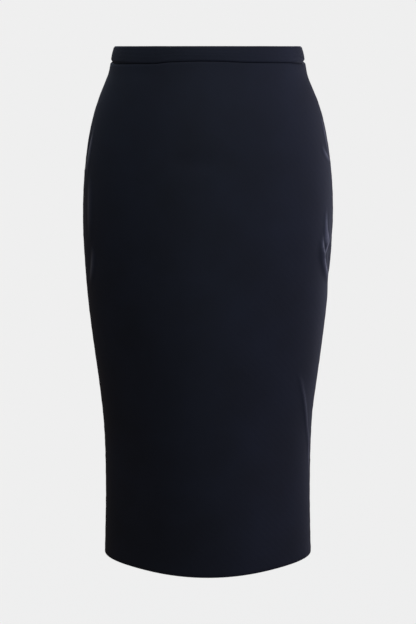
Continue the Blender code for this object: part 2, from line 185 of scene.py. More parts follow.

# ---- folds ----
# On the wearer's left (+1) or right (-1), each over three places, in degrees forward of the side
# seam and millimetres. Height is a ridge (+) or a trough (-). Shine is how strong the painted
# highlight on its crest is, with its sheen, from 0 to 1. Lean is how much broader it is ahead of
# its crest than behind.
Fold = namedtuple("Fold", "side turns levels width height shine lean", defaults=(0.0, 0.0))
HIGHLIGHT_LEAN = 0.5  # the part of its lean that a crest's painted highlight takes
FOLDS = [Fold(*row) for row in (
    # the high hip, wearer's left
    (+1, (12.5, 13.5, 12), (-84, -108, -134), 3.4, 1, 0.5),
    (+1, (22, 17.5, 7), (-121, -133.5, -145.5), 3.3, 1.2, 0.5),
    # the drawn hip, wearer's left: its soft forms, then its sharp creases
    (+1, (18, 16.5, 5), (-210, -242, -262), 6.5, 1.4),
    (+1, (10, 7, 3), (-222, -240, -252), 6.5, -1.4),
    (+1, (23, 17, 3), (-254, -284, -306), 6.5, 0.8),
    (+1, (13.5, 11.5, 8), (-260, -276, -290), 5.5, -1.6),
    (+1, (12, 1, -9), (-290, -307, -326), 12, -1.8),
    (+1, (22, 22, 19), (-206, -235, -260), 3.7, 1.4, 1),
    (+1, (22, 19.4, 21), (-230, -244, -256), 3.6, 0.9, 1),
    (+1, (16, 18.4, 22.6), (-240, -253.5, -268), 3.4, 1.2, 1),
    (+1, (25.6, 24.4, 22.2), (-240, -258, -274), 3.2, 1.5, 0.8, 0.6),
    (+1, (24.8, 21, 11), (-254, -278, -303), 3.2, 2.4, 1, 1.1),
    # the drag line to the hem, wearer's left
    (+1, (34, 22, 10), (-420, -478, -540), 9, 0.5),
    (+1, (20, 10, 4), (-440, -485, -530), 10, -0.4),
    (+1, (34.5, 22.6, 13), (-424, -478, -540), 3.2, 1.2, 0.4),
    (+1, (15.5, 12, 11.5), (-510, -540, -580), 3, 1, 0.5),
    # the wearer's right side
    (-1, (8, 12, 16), (-98, -128, -156), 7, 1.2),
    (-1, (17.5, 17, 16), (-96, -130, -160), 3.4, 1.3, 0.7),
    (-1, (17, 11, 4), (-144, -153, -158), 3, 1.2, 0.5),
    (-1, (21, 22.5, 21), (-162, -200, -250), 6, 1.8, 0.2),
    (-1, (9, 11, 10), (-180, -216, -258), 5, -0.7),
    (-1, (24.5, 22, 16), (-254, -281, -308), 4.8, 1.5, 0.3),
    (-1, (0, 0, 0), (-220, -285, -400), 30, 0.8),
    (-1, (-24, -16, -4), (-240, -272, -295), 8, 2, 0.1),
    (-1, (-30, -22, -10), (-262, -290, -312), 6, -1.2),
    (-1, (-38, -26, -6), (-430, -485, -550), 9.5, 2.2, 0.1),
    (-1, (-34, -22, -5), (-452, -505, -566), 4, -0.8),
    # the wearer's left, down the side seam and behind it
    (+1, (0, 0, 0), (-22, -40, -60), 12, -1.1),
    (+1, (0, 0, 0), (-120, -195, -262), 30, 0.5),
    (+1, (0, 0, 0), (-450, -482, -512), 20, -0.6),
    (+1, (-42, -27, -10), (-318, -340, -352), 10, 1.8, 0.1),
    (+1, (-36, -24, -8), (-300, -322, -336), 4.5, -0.8),
    (+1, (-50, -34, -14), (-196, -214, -222), 7.5, -1),
    # across the front: a slack below the waist, and one over the stomach
    (-1, (38, 50, 62), (-21.5, -22.5, -21.5), 5, -1.9),
    (-1, (71, 87, 104), (-135, -137.5, -135), 13, -0.9),
)]
FOLD_STEPS = 25
FOLD_TIP = 0.05
WAIST_CALM, HEM_CALM = 0.030, 0.020

# ---- unevenness: its height, its pitch or reach, and how it drifts ----
SLACK, SLACK_PITCH, SLACK_DRIFT = 0.22 * MM, 0.19, 0.03
SLACK_TURN, SLACK_SLANT, SLACK_CALM = 1.7, 4, 60 * MM
PUCKER, PUCKER_PITCH, PUCKER_REACH = mm(0.22, 21, 9)

# ---- camera ----
LENS, SENSOR_WIDTH = 82.83, 36.0
CAMERA_PLACE, CAMERA_TILT = (0.0002, -1.95, BAND_TOP), 10.501

# ---- studio: into_waist is a narrow spot that shows the inside of the back ----
WALL_COLOUR = "#efefef"
ROOM_COLOUR, ROOM_LIGHT = "#ffdeb0", 0.114
FLOOR_LEVEL, FLOOR_REACH = HEM - 0.35, 400.0
COOL, COOL_FRONT, COOL_LEFT = (0.71, 0.74, 1.0), (0.76, 0.91, 1.0), (0.52, 0.71, 1.0)
WHITE = (1.0, 1.0, 1.0)
Softbox = namedtuple("Softbox", "name place target size power colour spread", defaults=(180.0,))
SOFTBOXES = [Softbox(*row) for row in (
    ("key", (1.6, -0.8, 0.55), (0.05, 0.0, -0.25), 1.0, 11.4, COOL),
    ("key_low", (1.6, -0.8, -0.45), (0.05, 0.0, -0.35), 1.0, 4.8, COOL),
    ("rim", (1.5, 0.45, 0.15), (0.1, 0.0, -0.25), 0.9, 4.9, COOL),
    ("rim_low", (1.45, 0.7, -0.7), (0.1, 0.0, -0.3), 0.8, 2.0, COOL),
    ("rim_far", (1.25, 1.1, -0.5), (0.1, 0.0, -0.3), 0.7, 3.6, COOL),
    ("front_low", (0.1, -1.7, 0.2), (0.0, 0.0, -0.25), 1.0, 7.8, COOL_FRONT),
    ("top", (0.05, -0.55, 1.45), (0.0, 0.08, -0.15), 0.6, 7.0, WHITE),
    ("fill", (-1.5, -0.1, 0.6), (0.0, 0.0, -0.1), 0.8, 4.3, COOL_LEFT),
    ("back_left", (-1.0, 1.3, 0.6), (0.0, 0.0, -0.2), 1.0, 2.1, COOL_LEFT),
    ("back", (0.1, 1.6, 0.9), (0.0, 0.0, -0.25), 1.2, 14.0, COOL),
    ("into_waist", (0.0, -0.55, 1.05), (0.0, 0.07, -0.08), 0.05, 0.06, WHITE, 7.0),
)]


# ---- shapes ----

def eased(t):
    """0 before 0, 1 after 1, and a smooth step between."""
    t = np.clip(t, 0, 1)
    return t * t * (3 - 2 * t)


def rolled(distance, run, depth):
    """An edge rolled in: a quarter ellipse, depth deep at the edge and level a run away from it."""
    away = 1 - np.clip(distance / run, 0, 1)
    return depth * (1 - np.sqrt(1 - away**2))


def joined(*parts):
    """Arrays end to end along their last axis."""
    return np.concatenate(parts, axis=-1)


def uneven(x, pitch, start=0.0):
    """Uneven waves from -1 to 1: three sines whose pitches never meet."""
    x = 2 * pi * (x / pitch) + start
    return (np.sin(x) + 0.6 * np.sin(x * 1.618 + 2.1) + 0.4 * np.sin(x * 2.414 + 4.0)) / 2


def cubic(t, values, slopes, step, i):
    """A cubic from the i-th value to the next, a share t of the way, that keeps both slopes."""
    return (
        (2 * t**3 - 3 * t**2 + 1) * values[i]
        + (t**3 - 2 * t**2 + t) * step * slopes[i]
        + (3 * t**2 - 2 * t**3) * values[i + 1]
        + (t**3 - t**2) * step * slopes[i + 1]
    )


def section(level, wanted):
    """A smooth curve through one column of the sections, at the levels given."""
    levels = np.array([row.level for row in SECTIONS])[::-1]
    values = np.array([getattr(row, wanted) for row in SECTIONS])[::-1]
    level = np.asarray(level, float)
    i = np.clip(np.searchsorted(levels, level) - 1, 0, len(levels) - 2)
    step = levels[i + 1] - levels[i]
    return cubic((level - levels[i]) / step, values, np.gradient(values, levels), step, i)


def bare(level, turn):
    """The outer face before its folds: half an ellipse in front and half behind, times fullness."""
    swell = 1 + section(level, "fullness") * np.sin(2 * turn) ** 2
    depth = np.where(
        np.cos(turn) >= 0, section(level, "front_depth"), section(level, "back_depth"))
    across = section(level, "half_width") * np.sin(turn) * swell
    along = -depth * np.cos(turn) * swell
    return np.stack([across, along, level + 0 * turn], axis=-1)


def outward(level, turn):
    """The unit normal of the bare face, from small steps round and down it."""
    step = 1e-4
    across = bare(level, turn + step) - bare(level, turn - step)
    up = bare(level + step, turn) - bare(level - step, turn)
    normal = np.cross(across, up)
    return normal / np.linalg.norm(normal, axis=-1, keepdims=True)


def near_folds(points, leaning=1.0):
    """Each fold, the points within its reach, and its share there: 1 on its crest, fading off.
    It fades off more slowly ahead of its crest, by its lean or the part of it in leaning."""
    t = np.linspace(0, 1, FOLD_STEPS)
    bends = np.array([(1 - t) * (1 - 2 * t), 4 * t * (1 - t), t * (2 * t - 1)])
    for fold in FOLDS:
        turn = fold.side * np.radians(90 - np.array(fold.turns) @ bends)
        path = bare(MM * np.array(fold.levels) @ bends, turn)
        width = MM * fold.width
        reach = np.linalg.norm(path[0] - path[-1]) / 2 + 3 * width
        near = np.linalg.norm(points - path[FOLD_STEPS // 2], axis=-1) < reach
        away = np.linalg.norm(points[near][:, None, :] - path, axis=-1)
        nearest = away.argmin(axis=-1)
        along = FOLD_TIP + t[nearest] * (1 - 2 * FOLD_TIP)
        ahead = points[near][:, 1] < path[nearest, 1]
        across = away.min(axis=-1) / (width * (1 + leaning * fold.lean * ahead))
        yield fold, near, np.sin(pi * along) * np.exp(-(across**2))


def fold_height(points):
    """How far the folds lift the cloth, dying away at the waist seam and at the hem."""
    lift = np.zeros(points.shape[:-1])
    for fold, near, share in near_folds(points):
        lift[near] += MM * fold.height * share
    below_waist = eased((WAIST_SEAM - points[..., 2]) / WAIST_CALM)
    return lift * below_waist * eased((points[..., 2] - HEM) / HEM_CALM)


def fold_shine(points):
    """The painted highlight and sheen along the crests of its sharper folds, from 0 to 1."""
    shine = np.zeros(points.shape[:-1])
    for fold, near, share in near_folds(points, HIGHLIGHT_LEAN):
        shine[near] = np.maximum(shine[near], fold.shine * share**2)
    return shine


def slack(level, turn):
    """The gentle unevenness of cloth that hangs free: broad shallow waves, flat at the waist."""
    waves = SLACK * uneven(level + SLACK_DRIFT * np.sin(2 * turn), SLACK_PITCH, 1.0)
    waves = waves * uneven(turn + SLACK_SLANT * level, SLACK_TURN, 0.5)
    return waves * eased((WAIST_SEAM - level) / SLACK_CALM)


def seam_wave(turn):
    """How far the waist seam strays from level at a turn."""
    turns, rises = np.array(SEAM_WAVER).T
    slopes = np.gradient(rises, turns)
    degrees = (np.degrees(turn) + 180) % 360 - 180
    i = np.clip(np.searchsorted(turns, degrees) - 1, 0, len(turns) - 2)
    step = turns[i + 1] - turns[i]
    return MM * cubic((degrees - turns[i]) / step, rises, slopes, step, i)


def side_pucker(level, distance, side):
    """The slight ripple that a long seam draws into the cloth beside it."""
    fade = np.exp(-((distance / PUCKER_REACH) ** 2))
    return PUCKER * uneven(level, PUCKER_PITCH, side) * fade


def side_nip(level, turn):
    """How far the waist seam nips in at the sides, where the band pulls hardest on it."""
    depth = SIDE_NIP * np.abs(np.sin(turn)) ** SIDE_NIP_FOCUS
    return depth * np.clip(1 - np.abs(WAIST_SEAM - level) / SIDE_NIP_RUN, 0, 1)


def on_cloth(level, turn, inset):
    """Points at an inset from the folded outer face, with the waist seam's waver and nip."""
    inset = inset + side_nip(level, turn)
    level = level + seam_wave(turn) * (1 - eased((WAIST_SEAM - level) / WAVER_FADE))
    place = bare(level, turn)
    lift = fold_height(place) + slack(level, turn)
    return place + outward(level, turn) * (lift - inset)[..., None]


# ---- meshes ----

def grid_faces(rows, columns, cells=None):
    """The quads of a grid, rows going down and columns with the turn, so that they face out."""
    ids = np.arange(rows * columns).reshape(rows, columns)
    corners = np.stack([ids[:-1, :-1], ids[1:, :-1], ids[1:, 1:], ids[:-1, 1:]], axis=-1)
    return corners[cells] if cells is not None else corners.reshape(-1, 4)


def crowded(start, stretches):
    """Places beyond a start: so many even steps on to each stretch's end in turn."""
    places = [start]
    for end, steps in stretches:
        places += list(np.linspace(places[-1], end, steps + 1)[1:])
    return np.array(places[1:])


def settled(thing, **settings):
    """A thing with its settings made."""
    for key, value in settings.items():
        setattr(thing, key, value)
    return thing


def add_object(name, data):
    """An object in the scene, at the origin."""
    made = bpy.data.objects.new(name, data)
    bpy.context.scene.collection.objects.link(made)
    return made


def add_piece(name, points, faces, finish, body="skirt"):
    """A mesh piece from points and faces, riding on a body."""
    mesh = bpy.data.meshes.new(name)
    mesh.from_pydata(points.tolist(), [], faces)
    mesh.materials.append(finish)
    mesh.shade_smooth()
    piece = add_object(name, mesh)
    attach(piece, body)
    return piece


def add_cloth(name, points, faces, finish, centre_column):
    """A sheet over a grid of points, with its flat lay as UVs and its crests' painted highlight
    and sheen marked.
    """
    flat = cloth_uv(points, centre_column).reshape(-1, 2)
    points = points.reshape(-1, 3)
    used, faces = np.unique(faces, return_inverse=True)
    piece = add_piece(name, points[used], faces.reshape(-1, 4).tolist(), finish)
    mesh = piece.data
    corners = np.empty(len(mesh.loops), int)
    mesh.loops.foreach_get("vertex_index", corners)
    mesh.uv_layers.new(name="cloth").data.foreach_set("uv", flat[used][corners].ravel())
    # The crests' painted highlight and sheen, from 0 to 1, for the cloth's material.
    sheen_and_painted_highlight = mesh.attributes.new("sheen_and_painted_highlight", "FLOAT", "POINT")
    sheen_and_painted_highlight.data.foreach_set("value", fold_shine(points[used]))
    return piece


def thicken(piece, thickness):
    """Gives a sheet its thickness, all of it inwards from the outer face."""
    solid = piece.modifiers.new("thickness", "SOLIDIFY")
    settled(solid, thickness=thickness, offset=-1, use_even_offset=False)
    return piece


def lengths(points, axis):
    """The distance run along a grid, row by row or column by column, from its first point."""
    steps = np.linalg.norm(np.diff(points, axis=axis), axis=-1)
    start = np.zeros_like(np.take(points[..., 0], [0], axis=axis))
    return np.concatenate([start, np.cumsum(steps, axis=axis)], axis=axis)


def cloth_uv(points, centre_column):
    """Lays the cloth flat: across from one column, and down from the first row, in metres."""
    across = lengths(points, 1)
    across = across - across[:, centre_column:centre_column + 1]
    down = lengths(points, 0)[:, centre_column:centre_column + 1]
    return np.stack([across, -down + 0 * across], axis=-1)


def down_path():
    """Level and inset down a panel: tucked under the band, down the face, and up inside the hem."""
    seam = WAIST_SEAM - BELOW_SEAM
    tuck = np.linspace(WAIST_TUCK, WAIST_ROLL, TUCK_ROWS, endpoint=False)
    depth = seam - HEM - HEM_RADIUS
    near_seam = EDGE_STEPS[:8]
    face = crowded(near_seam[-1], [(seam - max(down, seam - depth), rows)
                                   for down, rows in FACE_ROWS])
    drop = joined([0.0], near_seam, face)
    theta = np.linspace(0, pi, FOLD_ROWS + 1)[1:]
    turn_up = np.linspace(HEM_RADIUS, HEM_TURN_UP, HEM_ROWS + 1)[1:]
    level = joined(np.full(len(tuck), seam), seam - drop,
                   HEM + HEM_RADIUS * (1 - np.sin(theta)), HEM + turn_up)
    inset = joined(tuck, rolled(drop, WAIST_ROLL_RUN, WAIST_ROLL),
                   HEM_RADIUS * (1 - np.cos(theta)), np.full(len(turn_up), 2 * HEM_RADIUS))
    bulge = np.exp(-(((level - HEM - HEM_BULGE_AT) / HEM_BULGE_WIDTH) ** 2))
    inset = inset - HEM_BULGE * bulge * np.clip(1 - inset / HEM_RADIUS, 0, 1)
    return level[:, None], inset[:, None]


def tubes(name, level, turn, inset, radius, finish, sides=4):
    """Round threads at an inset in the cloth, along many paths at once: a row of places each."""
    points = on_cloth(level, turn, inset)
    along = np.gradient(points, axis=1)
    across = np.cross(along, -outward(level, turn))
    across = across / np.linalg.norm(across, axis=-1, keepdims=True)
    up = np.cross(across, along)
    up = up / np.linalg.norm(up, axis=-1, keepdims=True)
    angle = np.linspace(0, 2 * pi, sides, endpoint=False)[:, None]
    ring = across[:, :, None, :] * np.cos(angle) + up[:, :, None, :] * np.sin(angle)
    ring = points[:, :, None, :] + radius * ring
    ids = np.arange(ring.size // 3).reshape(ring.shape[:3])
    after = np.roll(ids, -1, axis=2)
    quads = np.stack([ids[:, :-1], ids[:, 1:], after[:, 1:], after[:, :-1]], axis=-1)
    faces = quads.reshape(-1, 4).tolist() + ids[:, 0].tolist() + ids[:, -1, ::-1].tolist()
    return add_piece(name, ring.reshape(-1, 3), faces, finish)


def rounded(half_sizes, power, steps=OUTLINE_STEPS):
    """A superellipse's outline: an oval at power 2, nearer to a rectangle as it rises."""
    angle = np.linspace(0, 2 * pi, steps, endpoint=False)
    wave = np.stack([np.cos(angle), np.sin(angle)], axis=-1)
    return np.sign(wave) * np.abs(wave) ** (2 / power) * np.array(half_sizes)


def shrunk(outline, share):
    """An outline shrunk about its middle to a share of its size."""
    middle = outline.mean(axis=0)
    return middle + (outline - middle) * share


def prism(outline, low, high, hole=None):
    """A flat solid of an outline between two heights, with a hole that has as many points."""
    count = len(outline)
    loops = [outline] if hole is None else [outline, hole]
    points = np.concatenate([
        np.column_stack([loop, np.full(count, height)])
        for height in (low, high) for loop in loops])
    ids = np.arange(len(points)).reshape(2, len(loops), count)
    after = np.roll(ids, -1, axis=2)
    sides = [np.stack([ids[0, 0], after[0, 0], after[1, 0], ids[1, 0]], axis=-1)]
    if hole is None:
        return points, sides[0].tolist() + [ids[0, 0, ::-1].tolist(), ids[1, 0].tolist()]
    sides.append(np.stack([after[0, 1], ids[0, 1], ids[1, 1], after[1, 1]], axis=-1))
    sides.append(np.stack([ids[1, 0], after[1, 0], after[1, 1], ids[1, 1]], axis=-1))
    sides.append(np.stack([after[0, 0], ids[0, 0], ids[0, 1], after[0, 1]], axis=-1))
    return points, np.concatenate(sides).tolist()


def add_metal(name, shapes, place, finish, body, bevel):
    """Solids cast as one piece, placed by a matrix, with their edges softly rounded."""
    points, faces = [], []
    for corners, quads in shapes:
        start = sum(len(done) for done in points)
        points.append(corners)
        faces += [[start + corner for corner in quad] for quad in quads]
    turned = np.array(place)
    points = np.concatenate(points) @ turned[:3, :3].T + turned[:3, 3]
    piece = add_piece(name, points, faces, finish, body)
    edge = piece.modifiers.new("cast edges", "BEVEL")
    settled(edge, width=bevel, segments=3, limit_method="ANGLE", angle_limit=EDGE_ANGLE)
    return piece


# ---- materials ----

def hex_colour(code):
    """An sRGB hex code as linear red, green, blue and alpha."""
    values = [int(code[i:i + 2], 16) / 255 for i in (1, 3, 5)]
    return (*(v / 12.92 if v <= 0.04045 else ((v + 0.055) / 1.055) ** 2.4 for v in values), 1)


def feed(tree, node, inputs):
    """Fills a node's sockets from (socket, value) pairs: a value that is a socket is linked."""
    for socket, value in inputs:
        if isinstance(value, bpy.types.NodeSocket):
            tree.links.new(value, node.inputs[socket])
        else:
            node.inputs[socket].default_value = value


def add_node(tree, kind, inputs=(), stops=(), **settings):
    """Adds a node, with its settings, its inputs, and a ramp's stops: (position, colour) pairs."""
    made = settled(tree.nodes.new("ShaderNode" + kind), **settings)
    for i, (position, code) in enumerate(stops):
        made.color_ramp.elements[i].position = position
        made.color_ramp.elements[i].color = hex_colour(code)
    feed(tree, made, inputs)
    return made


def new_material(name):
    """An empty material: its node tree and its Principled shader, already joined to the output."""
    made = bpy.data.materials.new(name)
    made.use_nodes = True
    return made, made.node_tree, made.node_tree.nodes["Principled BSDF"]


def crepe_suiting(name, deep, light, grain=1.0):
    """Heavy stretch crepe: matt twisted yarn, whose grain breaks up the light, with a short nap
    that brightens where the cloth turns away. Its dye varies in slow clouds, and its surface
    swells faintly in slanting waves."""
    made, tree, shader = new_material(name)
    place = add_node(tree, "TexCoord").outputs["UV"]
    clouds = add_node(tree, "TexNoise", [
        ("Vector", place), ("Scale", 1 / 0.085), ("Detail", 3.0), ("Roughness", 0.55)])
    # Yarns are 0.35 mm apart. The grain is drawn three times as coarse, so that it shows.
    pebble = add_node(tree, "TexNoise", [
        ("Vector", place), ("Scale", 1 / 0.0011), ("Detail", 2.0), ("Roughness", 0.6)])
    waves = add_node(tree, "TexWave", [
        ("Vector", place), ("Scale", 1 / 0.018), ("Distortion", 1.5), ("Detail", 1.0)],
        bands_direction="DIAGONAL")
    height = add_node(tree, "Math", [
        (0, waves.outputs["Fac"]), (1, 0.30), (2, pebble.outputs["Fac"])],
        operation="MULTIPLY_ADD")
    bump = add_node(tree, "Bump", [
        ("Strength", 0.55 * grain), ("Distance", 0.00016), ("Height", height.outputs[0])])
    mixed = add_node(tree, "Math", [
        (0, pebble.outputs["Fac"]), (1, 0.45), (2, clouds.outputs["Fac"])],
        operation="MULTIPLY_ADD")
    ramp = add_node(tree, "ValToRGB", [("Fac", mixed.outputs[0])],
                    [(0.45, deep), (1.0, light)])
    rough = add_node(tree, "MapRange", [
        ("Value", pebble.outputs["Fac"]), ("To Min", 0.62), ("To Max", 0.80)])
    # The crests of sharp creases carry a painted highlight, a paler dye, and are also smoother
    # there, with more sheen.
    sheen_and_painted_highlight = add_node(tree, "Attribute", attribute_name="sheen_and_painted_highlight").outputs["Fac"]
    dye_and_painted_highlight = add_node(tree, "Mix", [
        ("Factor", sheen_and_painted_highlight), ("A", ramp.outputs["Color"]), ("B", hex_colour("#555768"))],
        data_type="RGBA")
    smoother = add_node(tree, "Math", [
        (0, sheen_and_painted_highlight), (1, -0.38), (2, rough.outputs["Result"])], operation="MULTIPLY_ADD")
    nap = add_node(tree, "MapRange", [
        ("Value", sheen_and_painted_highlight), ("To Min", SHORT_NAP), ("To Max", 1.0)])
    # The sheen's own value serves wherever its link is dropped.
    feed(tree, shader, [
        ("Base Color", dye_and_painted_highlight.outputs["Result"]), ("Normal", bump.outputs["Normal"]),
        ("Roughness", smoother.outputs[0]), ("Specular IOR Level", 0.20),
        ("Sheen Weight", SHORT_NAP), ("Sheen Weight", nap.outputs["Result"]),
        ("Sheen Roughness", 0.38), ("Sheen Tint", hex_colour("#ebeafa"))])
    return made


def zip_tape_twill(name):
    """Polyester zip tape with slanting ribs, a little shinier than the cloth."""
    made, tree, shader = new_material(name)
    place = add_node(tree, "TexCoord").outputs["UV"]
    ribs = add_node(tree, "TexWave", [
        ("Vector", place), ("Scale", 1 / 0.016), ("Distortion", 0.0)],
        bands_direction="DIAGONAL")
    bump = add_node(tree, "Bump", [
        ("Strength", 0.6), ("Distance", 0.00015), ("Height", ribs.outputs["Fac"])])
    ramp = add_node(tree, "ValToRGB", [("Fac", ribs.outputs["Fac"])],
                    [(0.0, "#0e1220"), (1.0, "#161c2e")])
    feed(tree, shader, [
        ("Base Color", ramp.outputs["Color"]), ("Normal", bump.outputs["Normal"]),
        ("Roughness", 0.6), ("Specular IOR Level", 0.25)])
    return made


def spun_thread(name):
    """Spun polyester sewing thread, drawn as fine slanting plies."""
    made, tree, shader = new_material(name)
    place = add_node(tree, "TexCoord").outputs["Object"]
    plies = add_node(tree, "TexNoise", [
        ("Vector", place), ("Scale", 1 / 0.0006), ("Detail", 2.0)])
    ramp = add_node(tree, "ValToRGB", [("Fac", plies.outputs["Fac"])],
                    [(0.0, "#161922"), (1.0, "#2a2f3e")])
    feed(tree, shader, [("Base Color", ramp.outputs["Color"]), ("Roughness", 0.55)])
    return made


def nylon_coil(name):
    """Dyed nylon monofilament: smooth, with a soft plastic gloss."""
    made, tree, shader = new_material(name)
    place = add_node(tree, "TexCoord").outputs["Object"]
    dye = add_node(tree, "TexNoise", [("Vector", place), ("Scale", 1 / 0.004)])
    ramp = add_node(tree, "ValToRGB", [("Fac", dye.outputs["Fac"])],
                    [(0.0, "#12141c"), (1.0, "#1c202c")])
    feed(tree, shader, [
        ("Base Color", ramp.outputs["Color"]), ("Roughness", 0.45), ("IOR", 1.53)])
    return made


def enamelled_zinc(name):
    """Die-cast zinc under baked navy enamel: an even satin gloss with faint orange peel."""
    made, tree, shader = new_material(name)
    place = add_node(tree, "TexCoord").outputs["Object"]
    peel = add_node(tree, "TexNoise", [
        ("Vector", place), ("Scale", 1 / 0.0009), ("Detail", 2.0)])
    bump = add_node(tree, "Bump", [
        ("Strength", 0.25), ("Distance", 0.00005), ("Height", peel.outputs["Fac"])])
    worn = add_node(tree, "TexNoise", [
        ("Vector", place), ("Scale", 1 / 0.003), ("Detail", 4.0)])
    ramp = add_node(tree, "ValToRGB", [("Fac", worn.outputs["Fac"])],
                    [(0.35, "#151823"), (0.8, "#232839")])
    feed(tree, shader, [
        ("Base Color", ramp.outputs["Color"]), ("Normal", bump.outputs["Normal"]),
        ("Metallic", 0.15), ("Roughness", 0.32)])
    return made


# ---- the front and backs ----

def front_cloth(finish):
    """The front: side seam to side seam, its edges rolled in at the seams and its hem turned up."""
    level, down_inset = down_path()
    edge = EDGE_STEPS / section(level, "front_depth")
    half = QUARTER - edge[:, -1:]
    share = 1 - crowded(0, FRONT_COLUMNS) / 90
    middle = joined(-share, share[-2::-1]) * half
    turn = joined(edge - QUARTER, middle, (QUARTER - edge)[:, ::-1])
    distance = joined(EDGE_STEPS, np.full(middle.shape[1], FAR), EDGE_STEPS[::-1])
    inset = down_inset + rolled(distance, SEAM_ROLL_RUN, SEAM_ROLL)
    inset = inset - side_pucker(level, distance, np.sign(turn))
    points = on_cloth(level, turn, inset)
    piece = add_cloth(
        "front_cloth", points, grid_faces(*turn.shape), finish, turn.shape[1] // 2)
    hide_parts("front_panel")
    return thicken(piece, CLOTH)


def back_half(level, side):
    """Turns over a back, from its side seam to the centre back, and how far each is from both."""
    at_side = EDGE_STEPS / section(level, "back_depth")
    at_centre = EDGE_STEPS[::-1] / section(level, "half_width")
    start, end = QUARTER + at_side[:, -1:], pi - at_centre[:, :1]
    share = crowded(0, BACK_COLUMNS)[:-1] / 90
    turn = joined(QUARTER + at_side, start + (end - start) * share, pi - at_centre)
    far = np.full(len(share) + len(EDGE_STEPS), FAR)
    return side * turn, joined(EDGE_STEPS, far), joined(far, EDGE_STEPS[::-1])


def back_cloth(name, side, dip, ease, past, past_inset, finish):
    """A back. Below the vent's top the roll of its seam passes, over the ease, into the dip of a
    free edge, and its grid goes on past the centre back by the distances and insets given."""
    level, down_inset = down_path()
    turn, from_side, from_centre = back_half(level, side)
    below = eased((VENT_TOP + ease / 2 - level) / ease)
    seam = rolled(from_centre, SEAM_ROLL_RUN, SEAM_ROLL)
    inset = down_inset + rolled(from_side, SEAM_ROLL_RUN, SEAM_ROLL) + seam
    inset = inset + (dip(from_centre) - seam) * below - side_pucker(level, from_side, side)
    middle = turn.shape[1] // 2
    turn = joined(turn, side * pi - past / section(level, "half_width"))
    points = on_cloth(level, turn, joined(inset, down_inset + past_inset))
    cells = np.ones((turn.shape[0] - 1, turn.shape[1] - 1), bool)
    cells[:, -len(past):] = (level <= VENT_TOP)[:-1]
    return add_cloth(name, points, grid_faces(*turn.shape, cells)[:, ::side], finish, middle)


def back_left_cloth(finish):
    """The wearer's left back. Below the vent's top its edge is folded back into a facing."""
    round_fold, across = FACING_COLUMNS
    theta = np.linspace(QUARTER, pi, round_fold + 1)[1:]
    facing = np.linspace(HEM_RADIUS, VENT_FACING, across + 1)[1:]
    distance = joined(HEM_RADIUS * (1 - np.sin(theta)), facing)
    inset = joined(HEM_RADIUS * (1 - np.cos(theta)), np.full(across, 2 * HEM_RADIUS))
    piece = back_cloth(
        "back_left_cloth", +1, lambda away: rolled(away, HEM_RADIUS, HEM_RADIUS), FACING_EASE,
        distance, inset, finish)
    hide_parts("back_panel_left")
    return thicken(piece, CLOTH)


def back_right_cloth(finish):
    """The wearer's right back. Below the vent's top it dips and goes on under the left back."""
    across, round_fold, back = LAP_COLUMNS
    theta = np.linspace(0, pi, round_fold + 1)[1:]
    over = np.linspace(0, VENT_LAP, across + 1)[1:]
    fold = VENT_LAP + HEM_RADIUS * np.sin(theta) * LAP_FOLD
    edge = np.linspace(VENT_LAP, VENT_LAP - LAP_EDGE_TURNING, back + 1)[1:]
    inset = joined(np.zeros(across), HEM_RADIUS * (1 - np.cos(theta)),
                   np.full(back, 2 * HEM_RADIUS))
    piece = back_cloth(
        "back_right_cloth", -1, lambda away: LAP_INSET * eased(1 - away / LAP_RUN), LAP_EASE,
        joined(over, fold, edge), LAP_INSET + inset, finish)
    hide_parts("back_panel_right")
    return thicken(piece, CLOTH)


def turning_inset(level, span):
    """A turning's outer face, from the seam (span 0) to its edges (-1 and 1), which lift."""
    lift = TURNING_LIFT * span**2 * (1 + uneven(level, TURNING_LIFT_PITCH, 1.0))
    return TURNING_INSET + lift


def seam_turnings(name, centre, across, top, foot, finish):
    """A seam's two turnings, pressed open behind it, with their edges left a little wavy."""
    rows, columns = TURNING_GRID
    level = np.linspace(top, foot, rows)[:, None]
    span = np.linspace(-1, 1, columns)[None, :]
    wave = 1 + TURNING_WAVE * uneven(level, TURNING_WAVE_PITCH) * np.abs(span)
    turn = centre + span * wave * TURNING_WIDTH / section(level, across)
    points = on_cloth(level, turn, turning_inset(level, span))
    piece = add_cloth(name, points, grid_faces(*turn.shape), finish, columns // 2)
    return thicken(piece, TURNING_CLOTH)


# ---- the waistband ----

def band_arch(level):
    """How far the band's soft face stands out, most at half its height."""
    return BAND_ARCH * (1 - (2 * (level - BAND_MIDDLE) / BAND_HEIGHT) ** 2)


def band_profile():
    """Level and inset across the folded band: up its soft arched face, over its top and down
    inside. Both its long edges roll in to the seam."""
    half = BAND_THICKNESS / 2
    low, high = WAIST_SEAM + ABOVE_SEAM, BAND_TOP - half
    up, over, down = BAND_ROWS
    face, inner = np.linspace(low, high, up), np.linspace(high, low, down)
    theta = np.linspace(0, pi, over + 2)[1:-1]
    level = joined(face, high + half * np.sin(theta), inner)
    inset = joined(rolled(face - low, BAND_EDGE_RUN, BAND_EDGE_ROLL) - band_arch(face),
                   half - (half - BAND_TOP_INSET) * np.cos(theta),
                   BAND_THICKNESS - rolled(inner - low, BAND_INNER_RUN, BAND_INNER_ROLL))
    return level[:, None], inset[:, None]


